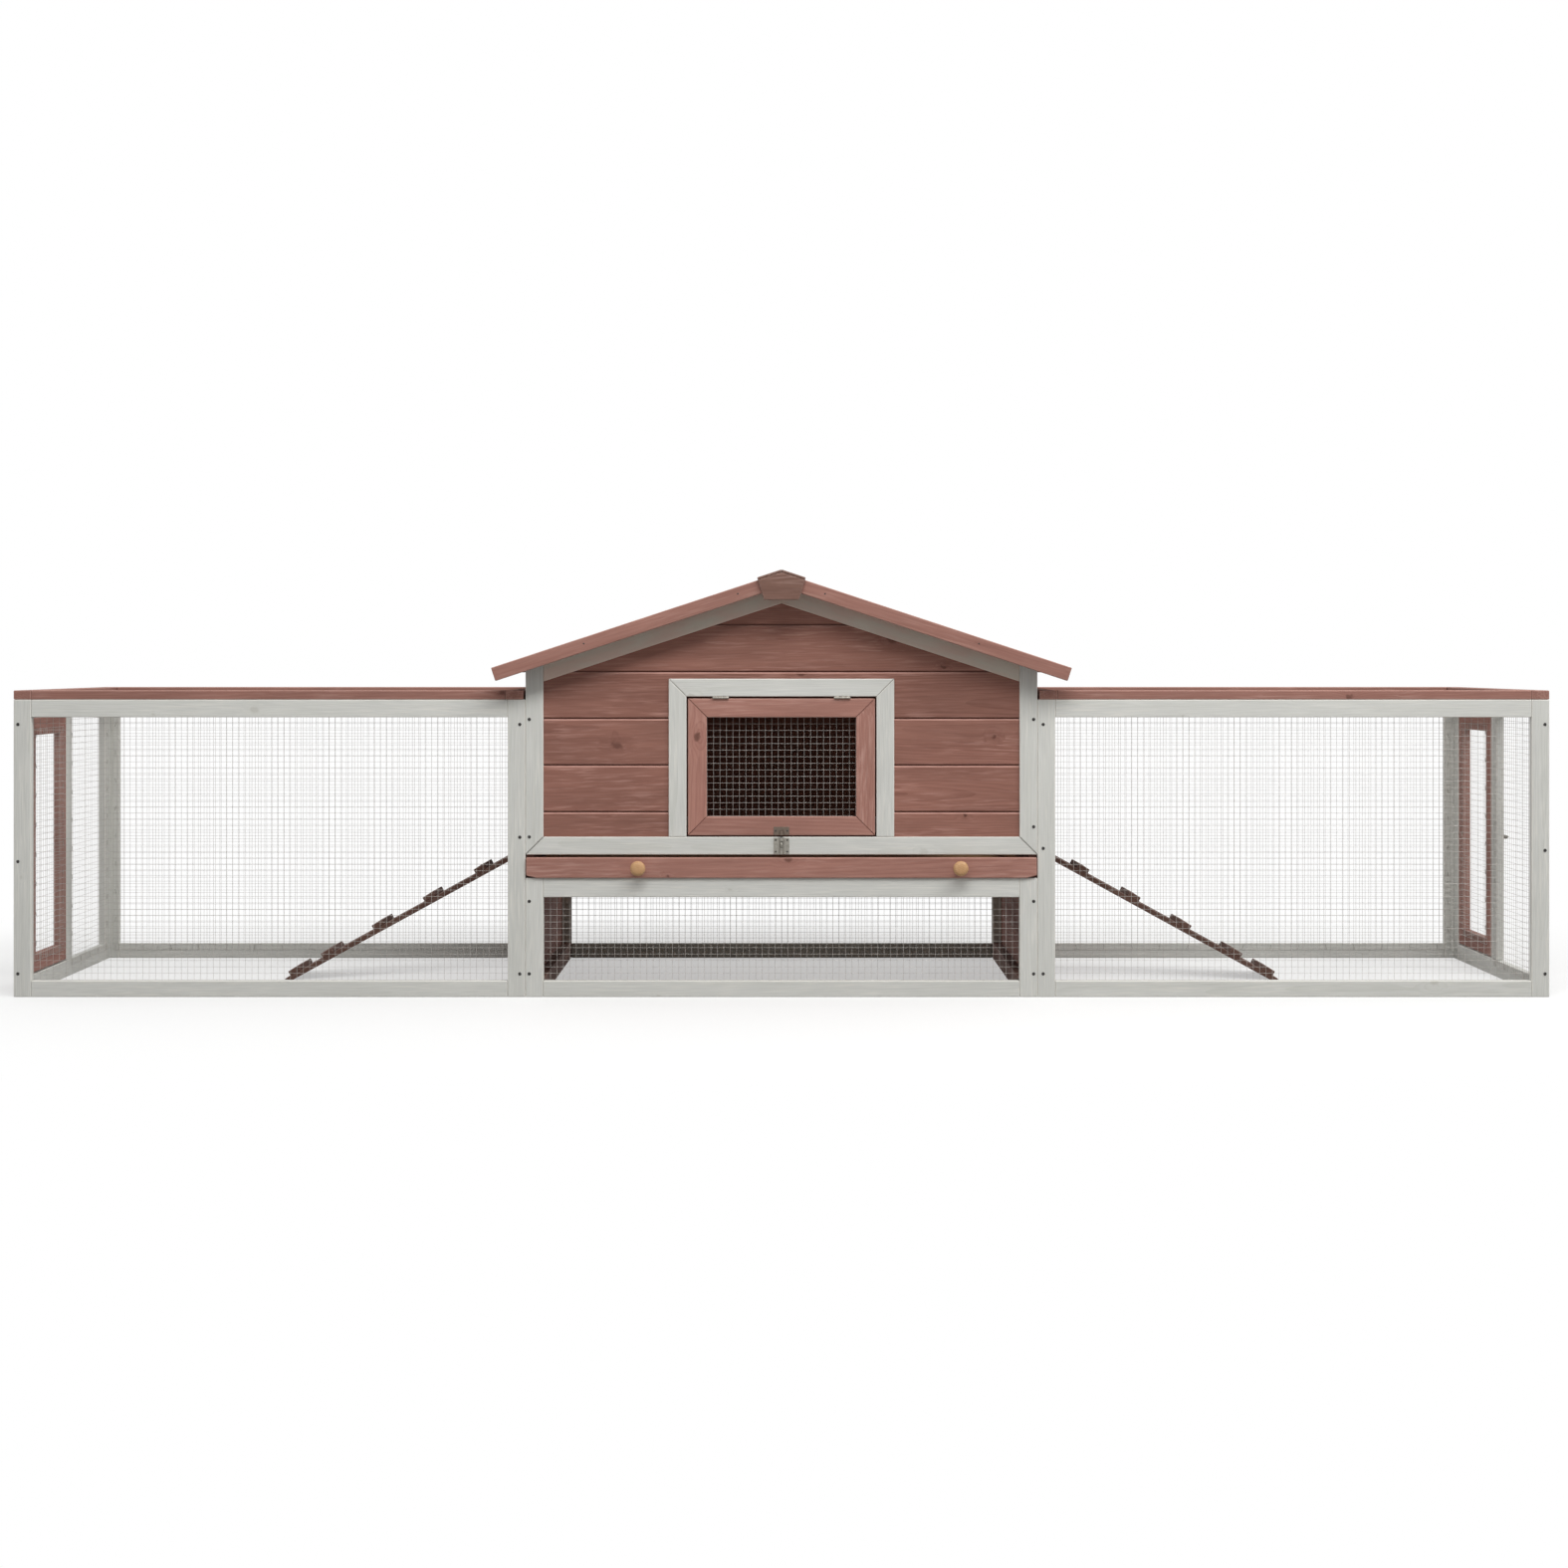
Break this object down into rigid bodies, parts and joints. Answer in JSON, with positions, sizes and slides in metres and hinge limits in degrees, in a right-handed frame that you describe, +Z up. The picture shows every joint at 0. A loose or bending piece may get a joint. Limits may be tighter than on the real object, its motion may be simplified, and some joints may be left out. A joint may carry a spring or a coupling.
{
  "type": "rabbit hutch",
  "caption": "Straight outdoor rabbit hutch: gabled house on a low storey with a pull-out tray, and a meshed run with ramp and end door on each side.",
  "frame": {"origin": "on the ground under the middle of the hutch", "axes": "+X to the right along the hutch seen from the front, +Y from front to back, +Z up"},
  "size_m": [3.0586, 0.716, 0.8415],
  "materials": {
    "stained_boards": "brown stained fir boards, matt",
    "stained_frames": "brown stained fir members, matt",
    "dark_stain": "darker brown stained fir, matt",
    "white_paint": "off-white washed fir, matt",
    "bare_pine": "bare pine",
    "wire_mesh": "galvanised welded wire",
    "zinc_steel": "zinc plated",
    "screw_steel": "dark screw heads"
  },
  "bodies": {
    "hutch": {"house_front_frame": "white_paint", "house_front_boards": "stained_boards", "door_casing": "white_paint", "house_back_frame": "white_paint", "house_back_boards": "stained_boards", "house_left_wall": "stained_boards", "house_right_wall": "stained_boards", "lower_front_frame": "white_paint", "lower_front_mesh": "wire_mesh", "lower_back_frame": "white_paint", "lower_back_mesh": "wire_mesh", "tray_runners": "bare_pine", "wall_battens": "dark_stain", "roof_left_boards": "stained_boards", "roof_right_boards": "stained_boards", "roof_battens": "dark_stain", "fascia_boards": "stained_frames", "ridge_strips": "dark_stain", "ridge_plates": "dark_stain", "panel_screws": "screw_steel", "hinge_frame_leaves": "zinc_steel", "hinge_pins": "zinc_steel", "bolt_plates": "zinc_steel", "left_run_front_frame": "white_paint", "left_run_front_mesh": "wire_mesh", "left_run_back_frame": "white_paint", "left_run_back_mesh": "wire_mesh", "left_run_end_frame": "white_paint", "left_run_end_mesh": "wire_mesh", "left_run_top_frame": "stained_frames", "left_run_top_mesh": "wire_mesh", "right_run_front_frame": "white_paint", "right_run_front_mesh": "wire_mesh", "right_run_back_frame": "white_paint", "right_run_back_mesh": "wire_mesh", "right_run_end_frame": "white_paint", "right_run_end_mesh": "wire_mesh", "right_run_top_frame": "stained_frames", "right_run_top_mesh": "wire_mesh"},
    "house_door": {"house_door_frame": "stained_frames", "house_door_mesh": "wire_mesh", "house_door_fittings": "zinc_steel"},
    "house_bolt": {"house_door_bolt": "zinc_steel"},
    "tray": {"tray_box": "bare_pine", "tray_front": "stained_frames", "tray_knobs": "bare_pine"},
    "left_door": {"left_door_frame": "stained_frames", "left_door_mesh": "wire_mesh", "left_door_fittings": "zinc_steel"},
    "left_bolt": {"left_door_bolt": "zinc_steel"},
    "left_ramp": {"left_ramp": "dark_stain", "left_ramp_leaves": "zinc_steel"},
    "right_door": {"right_door_frame": "stained_frames", "right_door_mesh": "wire_mesh", "right_door_fittings": "zinc_steel"},
    "right_bolt": {"right_door_bolt": "zinc_steel"},
    "right_ramp": {"right_ramp": "dark_stain", "right_ramp_leaves": "zinc_steel"}
  },
  "joints": [
    {"name": "house_door_hinge", "type": "hinge", "parent": "hutch", "child": "house_door", "pos_m": [0, -0.302, 0.591], "axis": [-1, 0, 0], "range_deg": [0, 110]},
    {"name": "house_bolt_slide", "type": "slide", "parent": "hutch", "child": "house_bolt", "axis": [0, 0, 1], "range_m": [0, 0.013]},
    {"name": "tray_slide", "type": "slide", "parent": "hutch", "child": "tray", "axis": [0, -1, 0], "range_m": [0, 0.45]},
    {"name": "left_door_hinge", "type": "hinge", "parent": "hutch", "child": "left_door", "pos_m": [-1.5173, -0.2478, 0.2935], "axis": [0, 0, 1], "range_deg": [0, 110]},
    {"name": "left_bolt_slide", "type": "slide", "parent": "hutch", "child": "left_bolt", "axis": [0, -1, 0], "range_m": [0, 0.013]},
    {"name": "left_ramp_hinge", "type": "hinge", "parent": "hutch", "child": "left_ramp", "pos_m": [-0.5082, 0, 0.2936], "axis": [0, 1, 0], "range_deg": [0, 50]},
    {"name": "right_door_hinge", "type": "hinge", "parent": "hutch", "child": "right_door", "pos_m": [1.5173, 0.2478, 0.2935], "axis": [0, 0, 1], "range_deg": [0, 110]},
    {"name": "right_bolt_slide", "type": "slide", "parent": "hutch", "child": "right_bolt", "axis": [0, 1, 0], "range_m": [0, 0.013]},
    {"name": "right_ramp_hinge", "type": "hinge", "parent": "hutch", "child": "right_ramp", "pos_m": [0.5082, 0, 0.2936], "axis": [0, -1, 0], "range_deg": [0, 50]}
  ]
}
